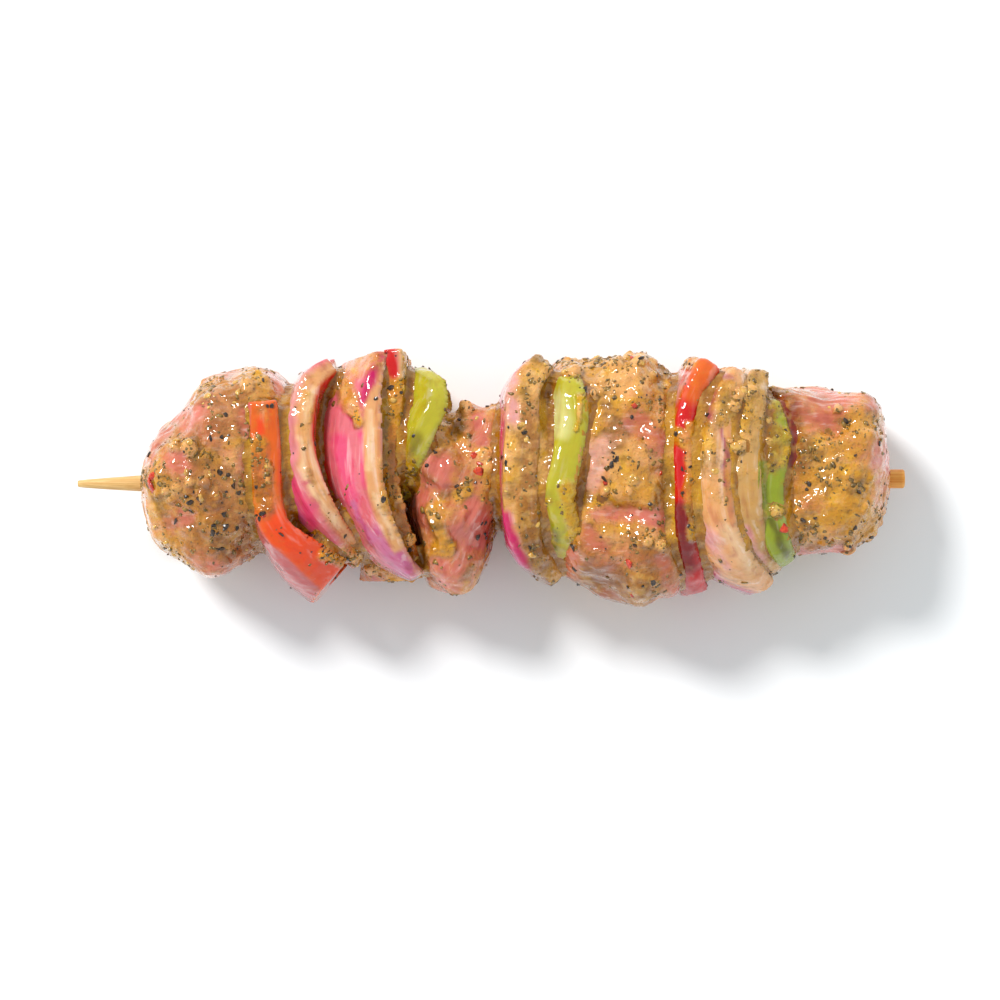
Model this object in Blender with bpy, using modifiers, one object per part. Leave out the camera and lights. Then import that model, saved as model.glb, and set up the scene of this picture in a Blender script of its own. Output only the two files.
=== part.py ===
"""Raw beef kebab on a bamboo stick, lying flat: chunks of marinated beef, pieces of red and green
pepper and layers of red onion, each a solid of its own, threaded on one stick.

Frame: +X runs along the stick, away from its point, +Z is up, and z = 0 is the surface that the
kebab lies on, below the middle of its length and width. Sizes below are millimetres.
"""

import math
import random
from bisect import bisect
from collections import namedtuple

import bmesh
import bpy
from mathutils import Vector, noise
from mathutils.bvhtree import BVHTree

MM = 0.001

# The stick: an 8 inch bamboo skewer, blunt at both ends and slimmed towards its point.
STICK_LENGTH = 203.2
STICK_RADIUS = 2.3
STICK_TIP_RADIUS = 0.8
STICK_HEIGHT = 21.0
STICK_Y = -0.8
STICK_YAW = math.radians(0.34)
STICK_SIDES = 16
HOLE_SIDES = 10

# What every piece keeps to: the gap to its neighbours and to the stick, and how close its points
# may lie before they are merged, with what is tried instead where merging would open the piece.
GAP = 0.4
MERGE_DISTANCES = (0.05, 0.02, 0.005, 0)

# A slant along which points are put in order, so that each run numbers them alike.
SORTING_SLANT = Vector((1.0, 0.7549, 0.5698))

# Beef chunks.
WAIST = 20.0
FULLNESS = 0.68
FOOT_SINK = 2.2
CHUNK_TRIANGLES = 960
LUMP_SIZE = 12.0
LUMP_HEIGHT = 2.6
CREASE_SIZE = 4.5
CREASE_HEIGHT = 0.9

# Walls of pepper and layers of onion: steps along and across, and how far each bends over.
STEPS_ALONG = 12
STEPS_ACROSS = 6
BEND = math.radians(66)
RIPPLE_SIZE = 14.0
RIPPLE_HEIGHT = 0.9
NOISE_SEED = 1

# Cracked pepper and garlic on the beef.
GRAINS_PER_CHUNK = 8
GRAIN_RADIUS = (0.75, 1.35)
GRAIN_SPACING = 4.5
GRAIN_CLEARANCE = 1.0

BEEF = (0.62, 0.33, 0.12, 1.0)
ONION_OUTER = (0.72, 0.11, 0.24, 1.0)
ONION_PALE = (0.78, 0.45, 0.22, 1.0)
RED_PEPPER = (0.68, 0.11, 0.03, 1.0)
GREEN_PEPPER = (0.42, 0.46, 0.07, 1.0)
BAMBOO = (0.86, 0.62, 0.33, 1.0)

# A chunk: its outline seen from above, its height, dents (x, y, x, y, depth, half width) pressed
# into its upper side along a line, and mounds (x, y, radius, height) raised on it.
Chunk = namedtuple("Chunk", "outline height dents mounds seed")

# A bent wall: its waist, half way down, and its upper cut edge, both seen from above from the far
# end to the near one; then, at the far end, the middle and the near end, how wide the cut edge
# is, and how high its top and its underside are; and how thick it is at the waist.
Wall = namedtuple("Wall", "waist edge width top underside thickness colour seed")

CHUNKS = {
    "beef_1": Chunk(
        outline=[(-85, -6.5), (-84.5, 2.5), (-81, 11.5), (-75, 17), (-69, 24), (-61.5, 25.5),
                 (-54, 26), (-49.5, 21.5), (-50, 14), (-53, 3), (-54, -8), (-57.5, -15.5),
                 (-61.5, -20.5), (-67.5, -23), (-75.5, -20), (-82, -15.5)],
        height=41,
        dents=[(-80, 14, -66, 4, 1.6, 3.0), (-66, 4, -62, -18, 1.3, 3.0)],
        mounds=[(-74, 7, 2.6, 1.8), (-77.5, 7.5, 1.8, 1.2), (-59.5, 23, 3.2, 1.4), (-54.5, 24, 2.0, 1.0)],
        seed=11,
    ),
    "beef_2": Chunk(
        outline=[(-17, 11.5), (-12.5, 15.5), (-7, 17), (-1.5, 16.5), (2.5, 17.5), (4, 9), (3, -6),
                 (0.5, -16.5), (-2, -21.5), (-6, -27.3), (-10, -28), (-15, -26), (-18, -18.5),
                 (-20, -11), (-21, -4), (-20.5, 5)],
        height=37,
        dents=[(-20, 0, -6, -6, 1.5, 2.2), (-9, 12, -1, -4, 1.0, 2.5)],
        mounds=[(-6, 17, 2.2, 1.3), (-12, 0.5, 3.4, 1.8), (-14, 9, 3.0, 1.2)],
        seed=23,
    ),
    "beef_3": Chunk(
        outline=[(14.5, 27), (22, 28.5), (30, 29.5), (38, 29.5), (41, 26.5), (45, 24), (45.5, 10),
                 (46, -10.5), (46.5, -20), (45, -27.5), (41, -29.5), (36.5, -31.7), (31, -29.5),
                 (25, -27), (18.5, -24), (15.5, -14), (16, 6)],
        height=42,
        dents=[(20, -4, 34, -10, 1.4, 2.6), (26, -7, 44, -14, 1.2, 2.2), (24, 22, 28, 4, 1.0, 3.0)],
        mounds=[(30.5, 28, 2.8, 1.2), (36.5, 28, 2.8, 1.2), (20, 26, 2.4, 1.0), (40.5, -16.5, 3.0, 1.4)],
        seed=37,
    ),
    "beef_4": Chunk(
        outline=[(67.5, 20.5), (72.5, 22.5), (81, 21.5), (88, 21), (93.5, 20.8), (96.5, 14.5),
                 (96.5, 4.5), (96.5, -5.5), (94.5, -13), (89, -17), (81, -17.8), (73.5, -19),
                 (68.5, -17.5), (67.5, -5.5), (67, 9.5)],
        height=38,
        dents=[(70, 14, 82, 12.5, 1.8, 2.0), (82, 12.5, 96, 14, 1.8, 1.8)],
        mounds=[(87, -16.5, 2.2, 1.2), (85.5, 17, 2.0, 0.9), (69, 20.5, 2.4, 1.0)],
        seed=53,
    ),
}

WALLS = {
    "onion_1_inner": Wall(
        waist=[(-37, 27), (-42, 18.5), (-43.5, 5.5), (-39.5, -6.5), (-30, -19.5), (-19.5, -25)],
        edge=[(-26.5, 30), (-28, 20), (-28.5, 8), (-27.5, -3), (-23.5, -14.5), (-19, -23.8)],
        width=(2.2, 4.0, 1.4), top=(37, 42, 33), underside=(8, 1.5, 20), thickness=6.0,
        colour=ONION_OUTER, seed=3,
    ),
    "onion_1_outer": Wall(
        waist=[(-39, 27.5), (-47, 22.5), (-50, 10.5), (-49, -6.5), (-42.5, -15.5), (-32.5, -20)],
        edge=[(-38, 27), (-43.5, 22), (-45.5, 11), (-42.5, -1), (-37.5, -10), (-32, -18)],
        width=(1.8, 4.0, 1.6), top=(33, 39, 28), underside=(12, 2.5, 12), thickness=7.5,
        colour=ONION_OUTER, seed=5,
    ),
    "red_pepper_1": Wall(
        waist=[(-58, 18.5), (-59, 9.5), (-59, -3), (-56, -17), (-50, -26.5), (-43.5, -31)],
        edge=[(-54.5, 18.5), (-54.5, 9.5), (-54.5, -3), (-51.5, -12), (-45.2, -17.5), (-38, -23.5)],
        width=(6.6, 6.6, 9.6), top=(40, 39.5, 31), underside=(9, 3, 10), thickness=9.0,
        colour=RED_PEPPER, seed=7,
    ),
    "red_pepper_2": Wall(
        waist=[(-26, 28), (-31, 19), (-35.5, 7), (-34, -5.5), (-32, -17), (-32.5, -25.5)],
        edge=[(-24, 30.8), (-23.5, 19), (-24.5, 7), (-23.5, -6.5), (-20, -17), (-18.5, -25)],
        width=(4.2, 3.4, 3.2), top=(38, 37, 18), underside=(10, 4, 4), thickness=9.5,
        colour=RED_PEPPER, seed=13,
    ),
    "green_pepper_1": Wall(
        waist=[(-20.5, 26.5), (-22, 19), (-24, 12), (-24.5, 4.5), (-23.5, -5)],
        edge=[(-12.5, 23), (-12.5, 17.5), (-15.5, 12), (-18.5, 5), (-20, -4)],
        width=(3.0, 4.0, 3.0), top=(36, 39, 27), underside=(12, 4, 9), thickness=6.5,
        colour=GREEN_PEPPER, seed=17,
    ),
    "onion_2": Wall(
        waist=[(10, 29), (4, 23), (2, 13), (2.5, -5.5), (5, -19), (14, -26)],
        edge=[(12.5, 28), (8.5, 22), (7.5, 12), (7, -5.5), (9.5, -17.5), (15.5, -24.5)],
        width=(4.4, 7.6, 3.0), top=(36, 41, 28), underside=(10, 2, 10), thickness=9.0,
        colour=ONION_PALE, seed=19,
    ),
    "green_pepper_2": Wall(
        waist=[(15, 25), (13, 15.5), (11, 3), (9.5, -6.5), (11.5, -16), (15.5, -20.5)],
        edge=[(20, 22.5), (20.5, 15.5), (18.5, 4.5), (16.5, -5.5), (19, -13), (18, -19)],
        width=(3.4, 5.0, 3.4), top=(38, 41.5, 31), underside=(9, 3, 10), thickness=7.0,
        colour=GREEN_PEPPER, seed=29,
    ),
    "red_pepper_3": Wall(
        waist=[(49, 28.5), (44.5, 21), (44.5, 5.5), (45.5, -10.5), (45.5, -21.5), (47, -28.5)],
        edge=[(53, 27), (48.5, 20), (46.3, 7), (46.3, -9), (48.3, -19), (50.5, -27.5)],
        width=(4.4, 2.8, 3.8), top=(37, 40, 26), underside=(9, 3, 7), thickness=5.0,
        colour=RED_PEPPER, seed=31,
    ),
    "onion_3_outer": Wall(
        waist=[(55, 26.3), (50.5, 18), (47.5, 7), (48.5, -11.5), (53, -22.5), (63, -28.5)],
        edge=[(60, 25.5), (56.5, 18.5), (55.3, 7), (55.6, -8), (60.5, -18.5), (68, -26)],
        width=(2.6, 4.8, 2.2), top=(37, 42, 28), underside=(9, 2, 10), thickness=9.5,
        colour=ONION_PALE, seed=41,
    ),
    "onion_3_inner": Wall(
        waist=[(61.5, 26), (59, 18.5), (57.5, 7), (58, -6.5), (61.5, -16.5), (68, -24)],
        edge=[(65, 25.5), (63.5, 18.5), (61.5, 7), (61.5, -5.5), (64, -14), (69, -21.5)],
        width=(3.2, 5.4, 2.4), top=(36, 41, 30), underside=(9, 3, 12), thickness=5.5,
        colour=ONION_PALE, seed=43,
    ),
    "green_pepper_3": Wall(
        waist=[(64, 18), (63, 9.5), (62, -1.5), (62.5, -10.5), (66, -17.5), (70, -21)],
        edge=[(67.5, 17.5), (69, 9.5), (67.5, -0.5), (68, -9), (70, -16.5), (72.5, -20.5)],
        width=(3.2, 4.4, 3.2), top=(36, 38.5, 29), underside=(10, 4, 11), thickness=6.0,
        colour=GREEN_PEPPER, seed=47,
    ),
}


def curve_point(corners, share, closed=False):
    """The point at a share of the way along a smooth curve through the corners."""
    count = len(corners)
    spans = count if closed else count - 1
    place = min(max(share, 0.0), 1.0) * spans
    index = min(int(place), spans - 1)
    t = place - index

    def corner(k):
        if closed:
            return Vector(corners[k % count])
        if k < 0:
            return 2 * Vector(corners[0]) - Vector(corners[1])
        if k >= count:
            return 2 * Vector(corners[-1]) - Vector(corners[-2])
        return Vector(corners[k])

    a, b, c, d = (corner(index + k) for k in (-1, 0, 1, 2))
    return 0.5 * (2 * b + (c - a) * t + (2 * a - 5 * b + 4 * c - d) * t**2 + (3 * b - a - 3 * c + d) * t**3)


def blend(ends_and_middle, share):
    """A value that holds its middle figure and eases to its end figures."""
    start, middle, end = ends_and_middle
    side = 2 * share - 1
    return middle + ((start if side < 0 else end) - middle) * abs(side) ** 2.4


def reach_from(centre, outline):
    """A function that gives how far a chunk reaches from its centre in each direction seen from above."""
    steps = 360
    spokes = sorted(
        (math.atan2(arm.y, arm.x), arm.length)
        for arm in (curve_point(outline, k / steps, closed=True) - centre for k in range(steps))
    )
    angles = [angle for angle, _ in spokes]

    def reach(angle):
        after = bisect(angles, angle) % steps
        before = after - 1
        turn = (angles[after] - angles[before]) % math.tau
        share = ((angle - angles[before]) % math.tau) / turn if turn else 0.0
        return spokes[before][1] + (spokes[after][1] - spokes[before][1]) * share

    return reach


def distance_to_line(point, x0, y0, x1, y1):
    """How far a point lies, seen from above, from a line with two ends."""
    start = Vector((x0, y0))
    run = Vector((x1, y1)) - start
    share = min(max((point - start).dot(run) / run.length_squared, 0.0), 1.0)
    return (point - start - run * share).length


def bump(distance, width):
    """A rounded bump: 1 at its middle, fading out past its half width."""
    return math.exp(-((distance / width) ** 2))


def object_from(bm, name, collection):
    """Makes an object, in metres, of a bmesh drawn in millimetres."""
    bmesh.ops.triangulate(bm, faces=bm.faces)
    bmesh.ops.recalc_face_normals(bm, faces=bm.faces)
    bmesh.ops.scale(bm, vec=(MM, MM, MM), verts=bm.verts)
    mesh = bpy.data.meshes.new(name)
    bm.to_mesh(mesh)
    bm.free()
    made = bpy.data.objects.new(name, mesh)
    collection.objects.link(made)
    return made


def apply_modifiers(piece):
    """Replaces a piece's mesh by what its modifiers make of it."""
    bpy.context.view_layer.update()
    made = bpy.data.meshes.new_from_object(piece.evaluated_get(bpy.context.evaluated_depsgraph_get()))
    piece.modifiers.clear()
    piece.data = made


def keep_largest(bm):
    """Drops loose scraps, keeping the body with the most points."""
    bodies = []
    left = set(bm.verts)
    while left:
        front = [left.pop()]
        body = set(front)
        while front:
            beside = {vert for edge in front.pop().link_edges for vert in edge.verts} & left
            left -= beside
            body |= beside
            front += beside
        bodies.append(body)
    bodies.sort(key=len)
    bmesh.ops.delete(bm, geom=[vert for body in bodies[:-1] for vert in body], context="VERTS")


def tidy_mesh(piece):
    """Merges points that nearly touch, as far as the piece stays closed, and drops loose scraps."""
    for merge in MERGE_DISTANCES:
        bm = bmesh.new()
        bm.from_mesh(piece.data)
        bm.verts.sort(key=lambda vert: vert.co.dot(SORTING_SLANT))
        bm.faces.sort(key=lambda face: face.calc_center_median().dot(SORTING_SLANT))
        if merge:
            bmesh.ops.remove_doubles(bm, verts=bm.verts, dist=merge * MM)
            bmesh.ops.dissolve_degenerate(bm, edges=bm.edges, dist=merge * MM / 3)
        bmesh.ops.triangulate(bm, faces=bm.faces)
        keep_largest(bm)
        closed = all(edge.is_manifold and edge.is_contiguous for edge in bm.edges)
        if closed or not merge:
            bm.to_mesh(piece.data)
        bm.free()
        if closed:
            break


def volume_of(piece):
    """The volume of a piece, in cubic metres."""
    bm = bmesh.new()
    bm.from_mesh(piece.data)
    volume = bm.calc_volume(signed=True)
    bm.free()
    return volume


def boolean(piece, operation, operand=None, collection=None):
    """Cuts a piece by an object, or joins it with a collection, and applies that.

    EXACT now and then loses the whole piece against a thin curved neighbour: MANIFOLD does it then.
    """
    before = piece.data
    least = volume_of(piece) / 2
    for solver in ("EXACT", "MANIFOLD"):
        modifier = piece.modifiers.new(operation.title(), "BOOLEAN")
        modifier.operation = operation
        modifier.solver = solver
        if collection:
            modifier.operand_type = "COLLECTION"
            modifier.collection = collection
        else:
            modifier.object = operand
        apply_modifiers(piece)
        if volume_of(piece) > least:
            break
        piece.data = before
    tidy_mesh(piece)


def grown_copy(piece, growth, collection):
    """A copy of a piece, larger by the growth all over, to cut its neighbours with."""
    bm = bmesh.new()
    bm.from_mesh(piece.data)
    bm.normal_update()
    moves = [(vert, vert.normal * growth * MM * min(vert.calc_shell_factor(), 1.5)) for vert in bm.verts]
    for vert, move in moves:
        vert.co += move
    mesh = bpy.data.meshes.new(piece.name + "_cutter")
    bm.to_mesh(mesh)
    bm.free()
    made = bpy.data.objects.new(mesh.name, mesh)
    made.hide_render = True
    made.display_type = "WIRE"
    collection.objects.link(made)
    return made


def near(one, other):
    """Whether the boxes round two pieces come within a millimetre of each other."""
    spans = []
    for piece in (one, other):
        places = [vert.co for vert in piece.data.vertices]
        spans.append([(min(p[k] for p in places), max(p[k] for p in places)) for k in range(3)])
    return all(spans[0][k][0] < spans[1][k][1] + MM and spans[1][k][0] < spans[0][k][1] + MM for k in range(3))


def paint(piece, colour, roughness):
    """Gives a piece a plain material of its own."""
    material = bpy.data.materials.new(piece.name)
    material.use_nodes = True
    shader = material.node_tree.nodes["Principled BSDF"]
    shader.inputs["Base Color"].default_value = colour
    shader.inputs["Roughness"].default_value = roughness
    shader.inputs["Metallic"].default_value = 0.0
    piece.data.materials.clear()
    piece.data.materials.append(material)
    piece.data.shade_smooth()


def stick(name, growth, sides, collection):
    """The bamboo stick, turned from a profile, or with some growth the hole it needs."""
    half = STICK_LENGTH / 2 + growth
    profile = [
        (0, half),
        (STICK_RADIUS - 0.3 + growth, half),
        (STICK_RADIUS + growth, half - 0.4),
        (STICK_RADIUS + growth, 24 - half),
        (0.83 * STICK_RADIUS + growth, 15 - half),
        (1.3 * STICK_TIP_RADIUS + growth, 2 - half),
        (STICK_TIP_RADIUS + growth, 0.3 - half),
        (0, -half),
    ]
    bm = bmesh.new()
    verts = [bm.verts.new((x * MM, 0, z * MM)) for x, z in profile]
    for start, end in zip(verts, verts[1:]):
        bm.edges.new((start, end))
    mesh = bpy.data.meshes.new(name)
    bm.to_mesh(mesh)
    bm.free()
    made = bpy.data.objects.new(name, mesh)
    collection.objects.link(made)
    screw = made.modifiers.new("Turned", "SCREW")
    screw.steps = screw.render_steps = sides
    screw.use_merge_vertices = True
    screw.merge_threshold = 0.00001
    apply_modifiers(made)
    made.data.transform(Vector((0, 0, 1)).rotation_difference(Vector((1, 0, 0))).to_matrix().to_4x4())
    made.rotation_euler.z = STICK_YAW
    made.location = (0, STICK_Y * MM, STICK_HEIGHT * MM)
    bpy.context.view_layer.update()
    made.data.transform(made.matrix_world)
    made.rotation_euler.z = 0
    made.location = (0, 0, 0)
    tidy_mesh(made)
    return made


def chunk(name, spec, collection):
    """A chunk of beef: a ball drawn out to the chunk's outline, dented and lumpy, with a flat foot."""
    centre = sum((Vector(corner) for corner in spec.outline), Vector((0, 0))) / len(spec.outline)
    reach = reach_from(centre, spec.outline)
    drift = Vector((7.1, 3.3, 5.7)) * spec.seed
    bm = bmesh.new()
    bmesh.ops.create_icosphere(bm, subdivisions=5, radius=1)
    for vert in bm.verts:
        x, y, z = vert.co
        angle = math.atan2(y, x)
        side = reach(angle) * math.hypot(x, y) ** FULLNESS
        rise = abs(z) ** FULLNESS * math.copysign(1, z)
        tall = spec.height - WAIST if z > 0 else WAIST + FOOT_SINK
        place = Vector((centre.x + side * math.cos(angle), centre.y + side * math.sin(angle), WAIST + rise * tall))
        outward = (place - Vector((centre.x, centre.y, WAIST))).normalized()
        lumps = LUMP_HEIGHT * (0.35 + 0.65 * abs(rise)) * noise.noise(place / LUMP_SIZE + drift)
        creases = -CREASE_HEIGHT * abs(noise.noise(place / CREASE_SIZE + drift))
        upper = max(rise, 0.0)
        seen = place.xy
        dents = sum(-depth * bump(distance_to_line(seen, *line), width) for *line, depth, width in spec.dents)
        mounds = sum(high * bump((seen - Vector((mx, my))).length, wide) for mx, my, wide, high in spec.mounds)
        place += outward * (lumps + creases + dents * upper + mounds * min(1.0, upper * 4))
        vert.co = place
    made = object_from(bm, name, collection)
    decimate = made.modifiers.new("Fewer faces", "DECIMATE")
    decimate.ratio = CHUNK_TRIANGLES / len(made.data.polygons)
    apply_modifiers(made)
    for vert in made.data.vertices:
        vert.co.z = max(vert.co.z, 0.0)
    tidy_mesh(made)
    return made


def arc_point(waist, edge, middle, half_height, angle):
    """A point on a bent wall's face, which bows from one edge through its waist to the other."""
    share = (1 - math.cos(angle)) / (1 - math.cos(BEND))
    seen = waist + (edge - waist) * share
    return Vector((seen.x, seen.y, middle + half_height * math.sin(angle) / math.sin(BEND)))


def wall_ring(spec, share, drift):
    """The section of a bent wall at a share of its length: up its outer face and down its inner one."""
    waist = curve_point(spec.waist, share)
    edge = curve_point(spec.edge, share)
    along = curve_point(spec.edge, min(share + 0.02, 1)) - curve_point(spec.edge, max(share - 0.02, 0))
    across = Vector((-along.y, along.x)).normalized()
    half_width = blend(spec.width, share) / 2
    thickness = spec.thickness * (1 - 0.35 * abs(2 * share - 1) ** 3)
    top = blend(spec.top, share)
    underside = blend(spec.underside, share)
    middle = (top + underside) / 2
    half_height = (top - underside) / 2
    turns = [BEND * (2 * k / STEPS_ACROSS - 1) for k in range(STEPS_ACROSS + 1)]
    outer = [arc_point(waist, edge - across * half_width, middle, half_height, turn) for turn in turns]
    inner = [
        arc_point(waist + across * thickness, edge + across * half_width, middle, half_height, turn)
        for turn in reversed(turns)
    ]
    return [p + RIPPLE_HEIGHT * noise.noise_vector(p / RIPPLE_SIZE + drift) for p in outer + inner]


def wall(name, spec, collection):
    """A bent wall of pepper or a layer of onion: a loft through its sections, closed at both ends."""
    drift = Vector((5.3, 2.9, 4.1)) * spec.seed
    bm = bmesh.new()
    rings = [
        [bm.verts.new(place) for place in wall_ring(spec, k / STEPS_ALONG, drift)]
        for k in range(STEPS_ALONG + 1)
    ]
    count = len(rings[0])
    for ring, following in zip(rings, rings[1:]):
        for k in range(count):
            after = (k + 1) % count
            bm.faces.new((ring[k], ring[after], following[after], following[k]))
    for ring in (rings[0], rings[-1]):
        for k in range(STEPS_ACROSS):
            bm.faces.new((ring[k], ring[k + 1], ring[count - 2 - k], ring[count - 1 - k]))
    return object_from(bm, name, collection)


def tree_of(piece):
    """A search tree over a piece's faces."""
    bm = bmesh.new()
    bm.from_mesh(piece.data)
    tree = BVHTree.FromBMesh(bm)
    bm.free()
    return tree


def grain_places(piece, others, draw):
    """Spots for grains on a chunk's upper side, apart from each other and clear of the other pieces."""
    tree = tree_of(piece)
    clear_of = [tree_of(other) for other in others]
    xs = [vert.co.x for vert in piece.data.vertices]
    ys = [vert.co.y for vert in piece.data.vertices]
    places = []
    for _ in range(600):
        if len(places) == GRAINS_PER_CHUNK:
            break
        start = Vector((draw.uniform(min(xs), max(xs)), draw.uniform(min(ys), max(ys)), 60 * MM))
        place, normal, _, _ = tree.ray_cast(start, Vector((0, 0, -1)))
        if place is None or normal.z < 0.5 or place.z < 26 * MM:
            continue
        radius = draw.uniform(*GRAIN_RADIUS)
        crowded = any((place - other).length < GRAIN_SPACING * MM for other, _, _ in places)
        reach = (2 * radius + GRAIN_CLEARANCE) * MM
        if crowded or any(other.find_nearest(place, reach)[0] for other in clear_of):
            continue
        places.append((place, normal, radius))
    return places


def add_grains(piece, others, seed):
    """Fuses cracked pepper and bits of garlic to a chunk's upper side."""
    draw = random.Random(seed)
    grains = bpy.data.collections.new(piece.name + "_grains")
    bpy.context.scene.collection.children.link(grains)
    for place, normal, radius in grain_places(piece, others, draw):
        bm = bmesh.new()
        bmesh.ops.create_icosphere(bm, subdivisions=1, radius=radius)
        for vert in bm.verts:
            vert.co *= draw.uniform(0.8, 1.2)
        grain = object_from(bm, "grain", grains)
        grain.data.transform(Vector((0, 0, 1)).rotation_difference(normal).to_matrix().to_4x4())
        for vert in grain.data.vertices:
            vert.co += place - normal * 0.25 * radius * MM
    boolean(piece, "UNION", collection=grains)
    for grain in list(grains.objects):
        bpy.data.objects.remove(grain)
    bpy.data.collections.remove(grains)


def make_kebab():
    """Makes the stick and all pieces, fits them to each other, and gives each its colour."""
    for leftover in list(bpy.data.objects):
        bpy.data.objects.remove(leftover)
    noise.seed_set(NOISE_SEED)
    parts = bpy.data.collections.new("beef_kebab_skewer")
    cutters = bpy.data.collections.new("cutters")
    bpy.context.scene.collection.children.link(parts)
    bpy.context.scene.collection.children.link(cutters)

    skewer = stick("skewer", 0, STICK_SIDES, parts)
    hole = stick("stick_hole", GAP, HOLE_SIDES, cutters)
    hole.hide_render = True
    hole.display_type = "WIRE"

    pieces = [(wall(name, spec, parts), spec) for name, spec in WALLS.items()]
    pieces += [(chunk(name, spec, parts), spec) for name, spec in CHUNKS.items()]
    fitted = []
    for piece, _ in pieces:
        for neighbour, cutter in fitted:
            if near(piece, neighbour):
                boolean(piece, "DIFFERENCE", cutter)
        boolean(piece, "DIFFERENCE", hole)
        fitted.append((piece, grown_copy(piece, GAP, cutters)))

    everything = [skewer] + [piece for piece, _ in pieces]
    for piece, spec in pieces:
        if piece.name in CHUNKS:
            add_grains(piece, [other for other in everything if other is not piece], spec.seed)
            paint(piece, BEEF, 0.4)
        else:
            paint(piece, spec.colour, 0.3)
    paint(skewer, BAMBOO, 0.6)
    for cutter in list(cutters.objects):
        bpy.data.objects.remove(cutter)
    bpy.data.collections.remove(cutters)


make_kebab()
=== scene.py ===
import itertools
import math
import random

import bmesh
import bpy
import numpy as np
from mathutils import Matrix, Vector
from mathutils.bvhtree import BVHTree


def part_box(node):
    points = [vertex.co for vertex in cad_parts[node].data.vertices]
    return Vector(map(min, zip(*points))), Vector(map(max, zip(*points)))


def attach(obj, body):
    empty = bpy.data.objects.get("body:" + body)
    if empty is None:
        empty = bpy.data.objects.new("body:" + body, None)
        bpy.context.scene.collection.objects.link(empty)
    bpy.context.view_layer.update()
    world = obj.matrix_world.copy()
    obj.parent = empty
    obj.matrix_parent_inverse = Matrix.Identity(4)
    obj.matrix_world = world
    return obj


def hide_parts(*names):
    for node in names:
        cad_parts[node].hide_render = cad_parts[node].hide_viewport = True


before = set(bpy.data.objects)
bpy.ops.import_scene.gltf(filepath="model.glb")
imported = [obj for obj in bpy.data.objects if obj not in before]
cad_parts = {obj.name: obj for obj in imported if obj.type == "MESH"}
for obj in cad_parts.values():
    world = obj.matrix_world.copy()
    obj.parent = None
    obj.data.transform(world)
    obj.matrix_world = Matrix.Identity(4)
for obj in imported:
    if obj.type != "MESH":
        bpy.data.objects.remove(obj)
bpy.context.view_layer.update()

# The table and the light: a white table top under a wide soft lamp at the upper left, with white
# walls and ceiling all round. The camera looks straight down from 0.9 m.
MM = 0.001
STICK_LEVEL = 21.0
EYE = np.array((2.2, -5.4, 900.0))
VIEW_WIDTH = 246.0
SENSOR = 36.0
LAMP_AIM = Vector((0.72, -0.74, -1.0))
LAMP_STRENGTH = 2.6
LAMP_SPREAD = math.radians(15)
CEILING_LIGHT = 0.52
WALL_LIGHT = 1.18
ROOM_COLOUR = (0.9, 0.965, 1.0, 1.0)
TABLE_SIZE = 4.0


def colour(red, green, blue):
    """A colour given in eight bit screen values, as the linear values that shaders take."""
    channels = [value / 255 for value in (red, green, blue)]
    return [c / 12.92 if c <= 0.04045 else ((c + 0.055) / 1.055) ** 2.4 for c in channels] + [1.0]


def link(name, data):
    """A new object with that data, in the scene."""
    made = bpy.data.objects.new(name, data)
    bpy.context.scene.collection.objects.link(made)
    return made


class Finish:
    """A material being made: each call adds a node and hands on its result. Lengths are millimetres."""

    def __init__(self, name):
        self.material = bpy.data.materials.new(name)
        self.material.use_nodes = True
        self.tree = self.material.node_tree
        self.shader = self.tree.nodes["Principled BSDF"]

    def join(self, value, socket):
        if isinstance(value, bpy.types.NodeSocket):
            self.tree.links.new(value, socket)
        else:
            socket.default_value = value

    def node(self, kind, sockets, **settings):
        made = self.tree.nodes.new(kind)
        for key, value in settings.items():
            setattr(made, key, value)
        for socket, value in sockets.items():
            self.join(value, made.inputs[socket])
        return made

    def place(self, stretch=(1, 1, 1)):
        whole = self.node("ShaderNodeTexCoord", {}).outputs["Object"]
        scale = [part / MM for part in stretch]
        return self.node("ShaderNodeMapping", {"Vector": whole, "Scale": scale}).outputs[0]

    def stored(self, name, output="Fac"):
        return self.node("ShaderNodeAttribute", {}, attribute_name=name).outputs[output]

    def cloud(self, place, size, detail=2.0):
        sockets = {"Vector": place, "Scale": 1 / size, "Detail": detail}
        return self.node("ShaderNodeTexNoise", sockets).outputs["Fac"]

    def ease(self, value, low, high, start=0.0, end=1.0):
        sockets = {"Value": value, "From Min": low, "From Max": high, "To Min": start, "To Max": end}
        return self.node("ShaderNodeMapRange", sockets, interpolation_type="SMOOTHSTEP").outputs[0]

    def sum(self, one, other):
        return self.node("ShaderNodeMath", {0: one, 1: other}, operation="ADD").outputs[0]

    def times(self, one, other):
        return self.node("ShaderNodeMath", {0: one, 1: other}, operation="MULTIPLY").outputs[0]

    def mix(self, share, first, second, blend="MIX"):
        sockets = {0: share, 6: first, 7: second}
        return self.node("ShaderNodeMix", sockets, data_type="RGBA", blend_type=blend).outputs[2]

    def bump(self, height, depth, strength=1.0):
        sockets = {"Height": height, "Distance": depth * MM, "Strength": strength}
        return self.node("ShaderNodeBump", sockets).outputs[0]

    def set(self, **sockets):
        for name, value in sockets.items():
            self.join(value, self.shader.inputs[name.replace("_", " ")])
        return self.material


bm = bmesh.new()
bmesh.ops.create_grid(bm, x_segments=8, y_segments=8, size=TABLE_SIZE / 2)
table_mesh = bpy.data.meshes.new("table_top")
bm.to_mesh(table_mesh)
bm.free()
table = link("table_top", table_mesh)
table_mesh.materials.append(
    Finish("white_table").set(Base_Color=(0.98, 0.98, 0.98, 1), Roughness=0.9, Specular_IOR_Level=0.1)
)

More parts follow.
